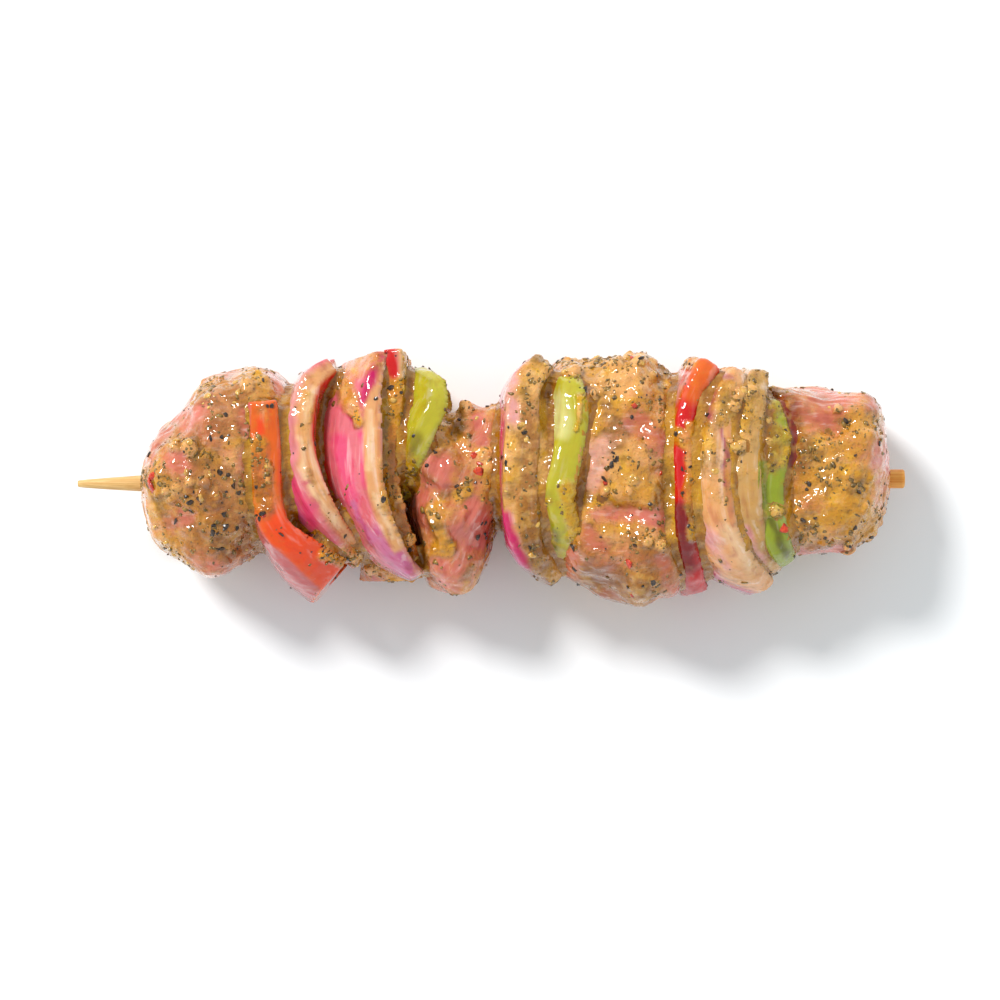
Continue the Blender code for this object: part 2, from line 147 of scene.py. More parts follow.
room = bpy.data.worlds.new("white_room")
room.use_nodes = True
background = room.node_tree.nodes["Background"]
background.inputs["Color"].default_value = ROOM_COLOUR
toward = room.node_tree.nodes.new("ShaderNodeTexCoord")
height = room.node_tree.nodes.new("ShaderNodeSeparateXYZ")
light = room.node_tree.nodes.new("ShaderNodeMapRange")
light.inputs["To Min"].default_value = WALL_LIGHT
light.inputs["To Max"].default_value = CEILING_LIGHT
room.node_tree.links.new(toward.outputs["Generated"], height.inputs[0])
room.node_tree.links.new(height.outputs["Z"], light.inputs["Value"])
room.node_tree.links.new(light.outputs[0], background.inputs["Strength"])
bpy.context.scene.world = room

lamp = link("soft_lamp", bpy.data.lights.new("soft_lamp", "SUN"))
lamp.data.energy = LAMP_STRENGTH
lamp.data.angle = LAMP_SPREAD
lamp.rotation_mode = "QUATERNION"
lamp.rotation_quaternion = LAMP_AIM.to_track_quat("-Z", "Y")

camera_data = bpy.data.cameras.new("camera")
camera_data.sensor_width = SENSOR
camera_data.lens = SENSOR * (EYE[2] - STICK_LEVEL) / VIEW_WIDTH
camera = link("camera", camera_data)
camera.location = EYE * MM
bpy.context.scene.camera = camera
bpy.context.scene.view_settings.view_transform = "Standard"


# The stick: split bamboo, turned round, slimmed to a blunt point at the left and sawn off at the
# right. Its fibres run its whole length, and the marinade has soaked into its right end.
STICK_RADIUS = 2.3
STICK_PROFILE = [(0.0, 0.72), (0.3, 0.85), (2.0, 1.04), (8.0, 1.5), (15.0, 1.91), (24.0, STICK_RADIUS)]
STICK_YAW = math.radians(0.34)
STICK_Y = -0.8
STICK_SIDES = 48
RING_SPACING = 1.5
SAWN_EDGE_LENGTH = 0.3
SAWN_EDGE_DEPTH = 0.25
FIBRE_DEPTH = 0.05
FIBRE_STRETCH = (0.02, 2.2, 2.2)


def noise_at(points, size, seed):
    """Smooth random values, from -1 to 1, at points, with features of that size."""
    place = np.asarray(points, float) / size + seed * 17.3
    cell = np.floor(place).astype(np.int64)
    part = place - cell
    part = part * part * (3 - 2 * part)
    total = np.zeros(len(place))
    for corner in itertools.product((0, 1), repeat=3):
        key = (cell + corner) @ np.array((73856093, 19349663, 83492791))
        key = (key ^ (key >> 13)) * 1274126177
        value = ((key ^ (key >> 16)) & 0xFFFF) / 32767.5 - 1
        total += value * np.prod(np.where(corner, part, 1 - part), axis=1)
    return total


def make_stick():
    """Rings of points along the stick, closed by a fan at both ends."""
    low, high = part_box("skewer")
    length = (high.x - low.x) / MM
    sawn_edge = length - SAWN_EDGE_LENGTH
    first_even = STICK_PROFILE[-1][0] + 2 * RING_SPACING
    stations = [x for x, _ in STICK_PROFILE] + list(np.arange(first_even, sawn_edge, RING_SPACING))
    stations += [sawn_edge, length]
    radii = np.interp(stations, *zip(*STICK_PROFILE))
    radii[-1] -= SAWN_EDGE_DEPTH
    angles = np.linspace(0, math.tau, STICK_SIDES, endpoint=False)
    rings = np.array(
        [[(x, r * math.cos(a), r * math.sin(a)) for a in angles] for x, r in zip(stations, radii)]
    ).reshape(-1, 3)
    fibres = noise_at(rings * FIBRE_STRETCH, 1.0, 3) * FIBRE_DEPTH
    rings[:, 1:] *= (1 + fibres / STICK_RADIUS)[:, None]
    rows = len(stations)
    ends = [(0, 0, 0), (length, 0, 0)]
    points = np.vstack([rings, ends]) - (length / 2, 0, 0)
    turn = np.array(Matrix.Rotation(STICK_YAW, 3, "Z"))
    points = points @ turn.T + (0, STICK_Y, STICK_LEVEL)
    faces = []
    for row, k in itertools.product(range(rows - 1), range(STICK_SIDES)):
        after = (k + 1) % STICK_SIDES
        first, second = row * STICK_SIDES, (row + 1) * STICK_SIDES
        faces.append((first + k, first + after, second + after, second + k))
    tip, stub = rows * STICK_SIDES, rows * STICK_SIDES + 1
    for k in range(STICK_SIDES):
        after = (k + 1) % STICK_SIDES
        last = (rows - 1) * STICK_SIDES
        faces.append((tip, after, k))
        faces.append((stub, last + k, last + after))
    mesh = bpy.data.meshes.new("bamboo_stick")
    mesh.from_pydata(points * MM, [], faces)
    bm = bmesh.new()
    bm.from_mesh(mesh)
    bmesh.ops.recalc_face_normals(bm, faces=bm.faces)
    bm.to_mesh(mesh)
    bm.free()
    mesh.shade_smooth()
    mesh.set_sharp_from_angle(angle=math.radians(50))
    return link("bamboo_stick", mesh)


bamboo = Finish("bamboo")
fibres = bamboo.cloud(bamboo.place((0.03, 2.6, 2.6)), 1.0, 3)
along = bamboo.node("ShaderNodeSeparateXYZ", {0: bamboo.place()}).outputs[0]
soaked = bamboo.ease(along, 60, 100)
dry = bamboo.mix(bamboo.ease(fibres, 0.35, 0.65), colour(212, 162, 88), colour(234, 192, 124))
wet = bamboo.mix(bamboo.ease(fibres, 0.35, 0.65), colour(230, 142, 46), colour(246, 178, 80))
bamboo.set(
    Base_Color=bamboo.mix(soaked, dry, wet),
    Roughness=0.5,
    Normal=bamboo.bump(fibres, 0.25),
)
stick = make_stick()
stick.data.materials.append(bamboo.material)
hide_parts("skewer")
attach(stick, "root")


# The red onion: petals cut from quartered bulbs. Each has a shiny magenta skin side, a pale inner
# side and a cut edge all round, which the marinade has stained tan.
TINTS = {
    "rose": (218, 112, 120),
    "pale_rose": (232, 140, 150),
    "magenta": (196, 34, 98),
    "hot_pink": (224, 84, 118),
    "violet": (198, 98, 136),
    "blush": (226, 160, 154),
    "purple": (170, 84, 100),
    # painted shade: the dark red of the recess between two onion petals
    "plum": (222, 46, 58),
    "peach": (226, 164, 112),
    "rim": (236, 192, 148),
    "straw": (202, 156, 98),
    "orange": (224, 104, 48),
    "vermilion": (234, 84, 40),
    "red": (206, 48, 36),
    # dark red on the lower end of a red pepper strip, and painted shade along a crease
    "blood": (132, 28, 30),
    "dusty_pink": (190, 90, 90),
    # painted highlight: the glare on a green pepper's wet top
    "pale_lime": (214, 206, 130),
    "lime": (186, 174, 62),
    "leaf": (148, 134, 46),
    "fresh_green": (148, 158, 58),
    "moss": (112, 112, 40),
    "meat": (196, 112, 86),
    "meat_pink": (212, 120, 104),
    "meat_rim": (222, 138, 130),
    # painted highlight: the glare on a wet patch of bare beef
    "meat_pale": (232, 168, 146),
    # dark red of the meat, and painted shade where it is laid down the left side of the last chunk
    "meat_red": (140, 40, 44),
    "meat_brown": (140, 84, 54),
    "ochre": (204, 147, 54),
    "tan": (230, 172, 100),
    "gold": (222, 166, 48),
    "olive": (134, 104, 42),
    # painted shade: darkens the paste in creases, hollows and shaded places
    "brown": (150, 96, 50),
}
SHEEN = 0.03
STROKE_EDGE = 1.85
EDGE_POINTS = 90
WALL_FINENESS = 0.7
WALL_TOP = (8, 15)
WALL_LUMP_SIZES = (0.6, 1.4)


def soft_step(values, low, high):
    """Eases from 0 at low to 1 at high."""
    share = np.clip((values - low) / (high - low), 0, 1)
    return share * share * (3 - 2 * share)


def refine(made, rounding, **fineness):
    """Gives an object many more points, evenly spread, and rounds off its facets and edges."""
    finer = made.modifiers.new("Finer", "REMESH")
    for setting, value in fineness.items():
        setattr(finer, setting, value)
    smooth = made.modifiers.new("Rounder", "SMOOTH")
    smooth.factor = 0.5
    smooth.iterations = rounding
    bpy.context.view_layer.update()
    shaped = made.evaluated_get(bpy.context.evaluated_depsgraph_get())
    made.data = bpy.data.meshes.new_from_object(shaped)
    made.modifiers.clear()
    made.data.shade_smooth()


def finer_copy(node, name, rounding, **fineness):
    """A copy of a solid with many more points, its facets and edges rounded off."""
    made = link(name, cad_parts[node].data.copy())
    made.data.materials.clear()
    refine(made, rounding, **fineness)
    return made


def points_of(piece):
    """The places, in millimetres, and the normals of a piece's points."""
    count = len(piece.data.vertices)
    places, normals = np.zeros(count * 3), np.zeros(count * 3)
    piece.data.vertices.foreach_get("co", places)
    piece.data.vertex_normals.foreach_get("vector", normals)
    return places.reshape(-1, 3) / MM, normals.reshape(-1, 3)


def move_points(piece, places):
    """Moves a piece's points to those places, or to the table top where they would be below it."""
    places[:, 2] = np.maximum(places[:, 2], 0)
    piece.data.vertices.foreach_set("co", (places * MM).ravel())
    piece.data.update()


def seen_from_above(places):
    """Where points appear from the eye on the level of the stick."""
    reach = (EYE[2] - STICK_LEVEL) / (EYE[2] - places[:, 2:])
    return EYE[:2] + (places[:, :2] - EYE[:2]) * reach


def off_line(seen, x0, y0, x1, y1):
    """How far each point appears from a line with two ends."""
    start, run = np.array((x0, y0)), np.array((x1 - x0, y1 - y0))
    share = np.clip((seen - start) @ run / max(run @ run, 1e-9), 0, 1)
    return np.linalg.norm(seen - start - share[:, None] * run, axis=1)


def strokes(seen, lines, core=0.3):
    """How far brush strokes (x, y, x, y, half width) cover each point: fully within their core."""
    cover = np.zeros(len(seen))
    for x0, y0, x1, y1, width in lines:
        off = off_line(seen, x0, y0, x1, y1) / width
        cover = np.maximum(cover, 1 - soft_step(off, core, STROKE_EDGE - core))
    return cover


def store(piece, name, values):
    """Keeps a number or a colour for each point of a piece, for its material to read."""
    if values.ndim == 1:
        piece.data.attributes.new(name, "FLOAT", "POINT").data.foreach_set("value", values.astype(np.float32))
    else:
        rgba = np.hstack([values, np.ones((len(values), 1))]).astype(np.float32)
        piece.data.attributes.new(name, "FLOAT_COLOR", "POINT").data.foreach_set("color", rgba.ravel())


def rgb(name):
    """A tint as it is under the pale sheen that the wet film adds to all colours."""
    return np.maximum(np.array(colour(*TINTS[name])[:3]) - SHEEN, 0.004)


def blended(first, second, share):
    """Colours on the way from the first to the second."""
    return first + (second - first) * share[:, None]


def paste_colours(places, seed):
    """The marinade's own colour: ochre, here tan where it is thin and there olive with herbs."""
    thin = soft_step(noise_at(places, 6.0, seed) + 0.4 * noise_at(places, 2.2, seed + 1), 0.0, 0.7)
    rich = soft_step(noise_at(places, 3.4, seed + 21) + 0.4 * noise_at(places, 1.5, seed + 22), 0.1, 0.7)
    green = soft_step(noise_at(places, 4.0, seed + 2) + 0.6 * noise_at(places, 1.6, seed + 3), 0.15, 0.8)
    base = np.broadcast_to(rgb("ochre"), (len(places), 3))
    base = blended(blended(base, rgb("tan"), thin), rgb("gold"), rich)
    return blended(base, rgb("olive"), 0.85 * green)


def wet_finish(name, gloss, streaks=0.0, clear=0.15):
    """Food in its marinade: its own tint, streaked, under a film of paste with herbs ground into it."""
    made = Finish(name)
    place = made.place()
    fine = made.cloud(place, 0.75, 3)
    broad = made.cloud(place, 2.6, 1)
    own = made.stored("tint", "Color")
    grain = made.cloud(made.stored("grain", "Vector"), 1.0, 3)
    darker = made.mix(1.0, own, (0.72, 0.45, 0.45, 1), "MULTIPLY")
    paler = made.mix(0.4, own, (1, 0.86, 0.78, 1))
    own = made.mix(made.ease(grain, 0.5, 0.72, 0, streaks), own, darker)
    own = made.mix(made.ease(grain, 0.46, 0.28, 0, streaks), own, paler)
    coat = made.stored("coat")
    cover = made.sum(coat, made.times(made.sum(broad, -0.5), 0.8))
    cover = made.sum(cover, made.times(made.sum(fine, -0.5), 0.5))
    film = made.ease(cover, 0.1, 1.0, 0, 1 - clear)
    thick = made.ease(cover, 0.45, 0.95)
    paste = made.stored("paste", "Color")
    dark_paste = made.mix(1.0, paste, (0.4, 0.38, 0.24, 1), "MULTIPLY")
    pale_paste = made.mix(0.5, paste, colour(242, 192, 92))
    paste = made.mix(made.ease(fine, 0.58, 0.7, 0, 0.7), paste, dark_paste)
    paste = made.mix(made.ease(broad, 0.5, 0.3, 0, 0.7), paste, pale_paste)
    relief = made.ease(coat, 0.1, 0.8, 0.35, 1.0)
    swell = made.times(made.cloud(place, 3.4, 1), relief)
    ripple = made.times(made.cloud(place, 2.0, 0), made.times(relief, 0.16))
    grit = made.times(fine, made.ease(cover, 0.3, 0.9, 0.03, 0.3))
    made.set(
        Base_Color=made.mix(film, own, paste),
        Roughness=made.sum(made.times(thick, 0.06), gloss),
        Specular_IOR_Level=0.05,
        Subsurface_Weight=0.2,
        Subsurface_Radius=(1.0, 0.4, 0.2),
        Subsurface_Scale=0.0015,
        Coat_Weight=0.95,
        Coat_IOR=1.55,
        Coat_Roughness=0.03,
        Normal=made.bump(made.sum(swell, grit), 1.2),
        Coat_Normal=made.bump(made.sum(swell, ripple), 2.0),
    )
    return made.material


def curve_points(corners, count):
    """Points along a smooth curve through the corners."""
    corners = np.array(corners, float)
    padded = np.vstack([2 * corners[0] - corners[1], corners, 2 * corners[-1] - corners[-2]])
    place = np.linspace(0, len(corners) - 1, count)
    index = np.minimum(place.astype(int), len(corners) - 2)
    t = (place - index)[:, None]
    a, b, c, d = (padded[index + k] for k in range(4))
    return 0.5 * (2 * b + (c - a) * t + (2 * a - 5 * b + 4 * c - d) * t**2 + (3 * b - a - 3 * c + d) * t**3)


def wall_zones(places, normals, edge, width):
    """Where each point of a bent wall lies: share of the length, distance across, skin side, cut edge."""
    line = curve_points(edge, EDGE_POINTS)
    run = np.gradient(line, axis=0)
    run /= np.linalg.norm(run, axis=1)[:, None]
    nearest = np.argmin(((places[:, None, :2] - line[None]) ** 2).sum(2), axis=1)
    ahead = run[nearest]
    across = np.stack([-ahead[:, 1], ahead[:, 0]], axis=1)
    arm = places[:, :2] - line[nearest]
    off = (arm * across).sum(1)
    step = np.linalg.norm(line[1:] - line[:-1], axis=1).mean()
    share = np.clip((nearest + (arm * ahead).sum(1) / step) / (len(line) - 1), 0, 1)
    half_width = np.interp(share, (0, 0.3, 0.7, 1), (width[0], width[1], width[1], width[2])) / 2
    skin = 1 - soft_step((normals[:, :2] * across).sum(1), -0.3, 0.2)
    cut = soft_step(half_width + 0.5 - abs(off), 0, 0.9) * soft_step(abs(normals[:, 2]), 0.3, 0.6)
    end = soft_step(abs((normals[:, :2] * ahead).sum(1)), 0.6, 0.85) * (abs(share - 0.5) > 0.45)
    return share, off, skin, np.maximum(cut, end)


def lumps_on(places, weights, count, sizes, seed):
    """Rounded lumps at random spots, more of them where the weights are larger: how far each point rises."""
    draw = np.random.default_rng(seed)
    spots = places[draw.choice(len(places), count, p=weights / weights.sum())]
    rise = np.zeros(len(places))
    for spot, radius in zip(spots, draw.uniform(*sizes, count)):
        away = ((places - spot) ** 2).sum(1) / radius**2
        near = away < 1
        rise[near] = np.maximum(rise[near], 0.55 * radius * (1 - away[near]) ** 1.5)
    return rise


# Lumps of garlic: x, y and size in millimetres, as they appear from the eye on the stick's level.
GARLIC = [
    (-74, 6.9, 2.0), (-77.7, 7.6, 1.3), (-80, -3.2, 1.2), (-77, -2, 1.2), (-74, -1, 1.3), (-60, 22.5, 1.7),
    (-54.9, 3, 1.0), (-54.9, -0.5, 0.9), (-6, 17, 1.5), (-22, -5, 1.3), (-20.5, -15, 1.6), (-29.5, -22, 1.6),
    (30.5, 28, 1.9), (36.5, 28.5, 1.8), (20.5, 25.5, 1.8), (25, 20, 1.4), (61.5, 19.7, 2.2), (64, 21, 1.6),
    (59.5, 17.5, 1.4), (61, 7.5, 2.0), (59, 9, 1.3), (70, -8.2, 1.7), (85.4, 17.2, 1.4), (87.6, -17.2, 1.6),
    (39, -15.5, 1.3), (42, -16.5, 1.4), (67.5, 14, 1.5), (68, 9, 1.3), (47.5, 10, 1.0), (34, -3, 1.2),
    (28, -3.5, 1.3),
]
GARLIC_TOP = (14, 18)
GARLIC_COAT = 0.85
dressed = {}


def garlic_lumps(places, normals):
    """How far the lumps of garlic under the paste raise each point that the eye sees, and their cover."""
    seen = seen_from_above(places)
    seen = seen + 0.35 * np.stack([noise_at(places, 1.3, 811 + k) for k in range(2)], axis=1)
    rise = np.zeros(len(places))
    for x, y, size in GARLIC:
        away = ((seen - (x, y)) ** 2).sum(1) / size**2
        rise = np.maximum(rise, 0.8 * size * np.clip(1 - away, 0, 1) ** 0.7)
    rise = rise * soft_step(places[:, 2], *GARLIC_TOP) * soft_step(normals[:, 2], 0.1, 0.5)
    return rise, soft_step(rise, 0.1, 0.6)


def dress_wall(node, name, spec, finish, seed):
    """Makes a wall of pepper or a petal of onion out of its solid: relief, tints and marinade."""
    piece = finer_copy(node, name, 8, mode="SHARP", octree_depth=7, scale=WALL_FINENESS)
    places, normals = points_of(piece)
    warp = np.stack([noise_at(places, 3.0, seed + k) for k in range(2)], axis=1)
    seen = seen_from_above(places) + 0.7 * warp
    share, off, skin, cut = wall_zones(places, normals, spec["edge"], spec["width"])
    zones = {
        "all": np.ones(len(places)),
        "skin": skin * (1 - cut),
        "cut": cut,
        "inner": (1 - skin) * (1 - cut),
    }
    upper = soft_step(places[:, 2], *WALL_TOP)

    tint = blended(blended(rgb(spec["inner"]), rgb(spec["skin"]), skin), rgb(spec["cut"]), cut)
    for zone, name_of_tint, lines in spec["tints"]:
        tint = blended(tint, rgb(name_of_tint), strokes(seen, lines) * zones[zone] * upper)
    coat = spec["coat"][0] * zones["skin"] + spec["coat"][1] * cut + spec["coat"][2] * zones["inner"]
    coat = coat + 0.18 * noise_at(places, 5.0, seed + 5)
    for amount, lines in spec["marinade"]:
        cover = strokes(seen, lines) * upper
        coat = coat + (amount - coat) * cover
    coat = np.clip(coat, 0, 1)

    rise = spec.get("swell", 0.35) + spec.get("belly", 0) * skin * (1 - cut)
    rise += 0.12 * noise_at(places, 6.0, seed + 8)
    rise += coat**3 * (0.15 + 0.2 * noise_at(places, 2.5, seed + 9))
    lumps = lumps_on(places, coat**4 + 0.002, spec["lumps"], WALL_LUMP_SIZES, seed)
    rise += lumps * soft_step(coat, 0.45, 0.8)
    raised, garlic = garlic_lumps(places, normals)
    rise += raised
    coat = np.maximum(coat, GARLIC_COAT * garlic)
    move_points(piece, places + normals * rise[:, None])
    store(piece, "tint", tint)
    shaded = 0.85 * strokes(seen, spec.get("shaded", []), 0.2) * upper
    paste = blended(paste_colours(places, seed), rgb("brown"), shaded)
    store(piece, "paste", blended(paste, rgb("tan"), garlic))
    store(piece, "coat", coat)
    store(piece, "grain", np.stack([share * 3, places[:, 2] / 1.7, off / 1.7], axis=1))
    piece.data.materials.append(finish)
    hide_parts(node)
    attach(piece, "root")
    dressed[piece.name] = (piece, coat)


# Each petal's edge is the line of its middle seen from above, and width its width at both ends and
# between. Strokes are x, y, x, y and half width in millimetres, as they appear from the eye on the
# stick's level: tints says in which zone they lie, and marinade how thick it is there.
ONIONS = {
    "onion_1_outer": dict(
        # This petal's dark red inner side is painted shade in the recess between it and the next petal.
        slot="onion", skin="rose", inner="plum", cut="peach",
        coat=(0.05, 0.14, 0.15), lumps=12, belly=1.6,
        edge=[(-38, 27), (-43.5, 22), (-45.5, 11), (-42.5, -1), (-37.5, -10), (-32, -18)],
        width=(1.8, 4.0, 1.6),
        tints=[
            ("skin", "blush", [(-46, 25, -51, 12, 3.2), (-50, 10, -50, 4, 1.6)]),
            ("skin", "violet", [(-49, -2, -45, -9, 1.6), (-44, -14, -34, -21, 2.6)]),
            ("all", "pale_rose", [(-49.8, 22, -48.8, 4, 1.4)]),
            ("all", "rose", [(-45.6, 1, -43, -7, 1.0), (-43, -7, -39.6, -16, 1.0)]),
            ("all", "hot_pink", [(-49, 4, -46.5, -3, 1.2), (-46, -3, -42.5, -10, 1.0)]),
            ("cut", "rim", [(-46, 14, -44, 22, 0.8), (-47, 10, -45, 0, 0.7), (-44, -2, -38, -12, 0.7)]),
        ],
        marinade=[
            (0.75, [(-36, -17, -32, -20, 2.5)]),
            (0.6, [(-44.5, 2, -43.6, -1, 1.0)]),
            (0.5, [(-45, 20, -46, 8, 1.2)]),
        ],
    ),
    "onion_1_inner": dict(
        slot="onion", skin="rose", inner="blush", cut="peach",
        coat=(0.02, 0.18, 0.4), lumps=15,
        edge=[(-26.5, 30), (-28, 20), (-28.5, 8), (-27.5, -3), (-23.5, -14.5), (-19, -23.8)],
        width=(2.2, 4.0, 1.4),
        tints=[
            ("skin", "blush", [(-37, 27, -28, 31, 3.0), (-29.5, 18, -30, 5, 0.9), (-35, 3, -33, -3, 0.8)]),
            ("all", "magenta", [(-27.6, 30, -29.6, 24, 1.3), (-29.8, 24, -34, 15, 1.2)]),
            ("skin", "hot_pink", [(-37, 9, -34, -5, 2.0), (-31.5, 10, -30, -2, 1.0)]),
            ("skin", "violet", [(-27, -14, -20, -24, 2.6)]),
            ("all", "violet", [(-22.5, -19, -19.5, -24, 1.6)]),
            # painted shade in the recess along this petal's left side
            ("skin", "plum", [(-42, 12, -40, -3, 1.2)]),
            ("cut", "rim", [(-29.5, 16, -30, 2, 0.6), (-28.5, -4, -24.5, -14, 0.6)]),
            ("skin", "violet", [(-34, -6, -29, -15, 0.9)]),
        ],
        marinade=[
            (0.6, [(-37, 25, -29, 29, 3.0)]),
            (0.85, [(-36.5, 23, -33.5, 17, 2.6), (-33.5, 17, -32.5, 13, 1.4)]),
            (0.7, [(-27, 4, -26, -8, 1.2), (-24, -10, -20, -18, 1.2)]),
            (0.75, [(-37, -17, -34, -21, 2)]),
        ],
    ),
    "onion_2": dict(
        slot="onion", skin="magenta", inner="blush", cut="peach",
        coat=(0.12, 0.76, 0.7), lumps=60, swell=0.7,
        edge=[(12.5, 28), (8.5, 22), (7.5, 12), (7, -5.5), (9.5, -17.5), (15.5, -24.5)],
        width=(4.4, 7.6, 3.0),
        tints=[
            ("all", "blush", [(5, 24, 6, 15, 2)]),
            ("all", "magenta", [(2.4, 22, 2.4, 10, 1.1), (3, -9, 8.2, -23, 1.9)]),
            ("skin", "violet", [(5, -19, 12, -26, 2.4)]),
            # painted shade down the lower part of the cut edge
            ("all", "brown", [(10, -8, 12.5, -24, 3.2)]),
        ],
        marinade=[
            (0.25, [(5.5, 23, 6.0, 14, 1.8)]),
            (0.9, [(9.4, 10, 9.4, -12, 2.4), (9.4, -12, 13, -21, 2.0), (8, 22, 12, 27, 2.5)]),
            (0.05, [(2.4, 22, 2.4, 10, 1.0), (3, -9, 8.0, -23, 1.9)]),
        ],
        shaded=[(9.5, 17, 9.5, -4, 2.2), (9, -4, 11, -20, 3.5)],
    ),
    "onion_3_outer": dict(
        slot="onion", skin="peach", inner="straw", cut="peach",
        coat=(0.3, 0.34, 0.5), lumps=30, swell=1.0,
        edge=[(60, 25.5), (56.5, 18.5), (55.3, 7), (55.6, -8), (60.5, -18.5), (68, -26)],
        width=(2.6, 4.8, 2.2),
        tints=[
            ("all", "purple", [(58, 24, 55, 19, 1.2), (54, 17, 52.5, 11, 1.3), (57, 12, 57.3, -2, 0.5)]),
            ("all", "blush", [(50.5, 2, 51, -9, 1.3), (53, -12, 58, -21, 1.4)]),
            (
                "all", "violet",
                [(48.2, -9, 50.5, -17, 1.0), (50.5, -17, 56, -25, 1.4), (56, -25, 66, -30, 1.6)],
            ),
            ("all", "rim", [(57, -12, 64, -22, 1.6)]),
        ],
        marinade=[
            (0.9, [(53, 12, 52, 4, 2.4), (58, 22, 56, 14, 1.6)]),
            (0.15, [(51, -4, 54, -14, 2.4), (56, -12, 62, -21, 2)]),
        ],
    ),
    "onion_3_inner": dict(
        slot="onion", skin="peach", inner="straw", cut="straw",
        coat=(0.3, 0.3, 0.5), lumps=30, swell=1.0,
        edge=[(65, 25.5), (63.5, 18.5), (61.5, 7), (61.5, -5.5), (64, -14), (69, -21.5)],
        width=(3.2, 5.4, 2.4),
        tints=[
            ("all", "purple", [(58.5, 13, 58, 0, 0.7)]),
            ("cut", "blush", [(62, -12, 66, -20, 1.2)]),
        ],
        marinade=[(0.95, [(62, 22, 61, 10, 3.4)]), (0.2, [(61, -2, 63, -12, 2)])],
    ),
}
onion_finish = wet_finish("onion_in_marinade", 0.12, streaks=0.7)
for number, (node, spec) in enumerate(ONIONS.items()):
    dress_wall(node, node.replace("onion", "red_onion"), spec, onion_finish, 101 + 20 * number)


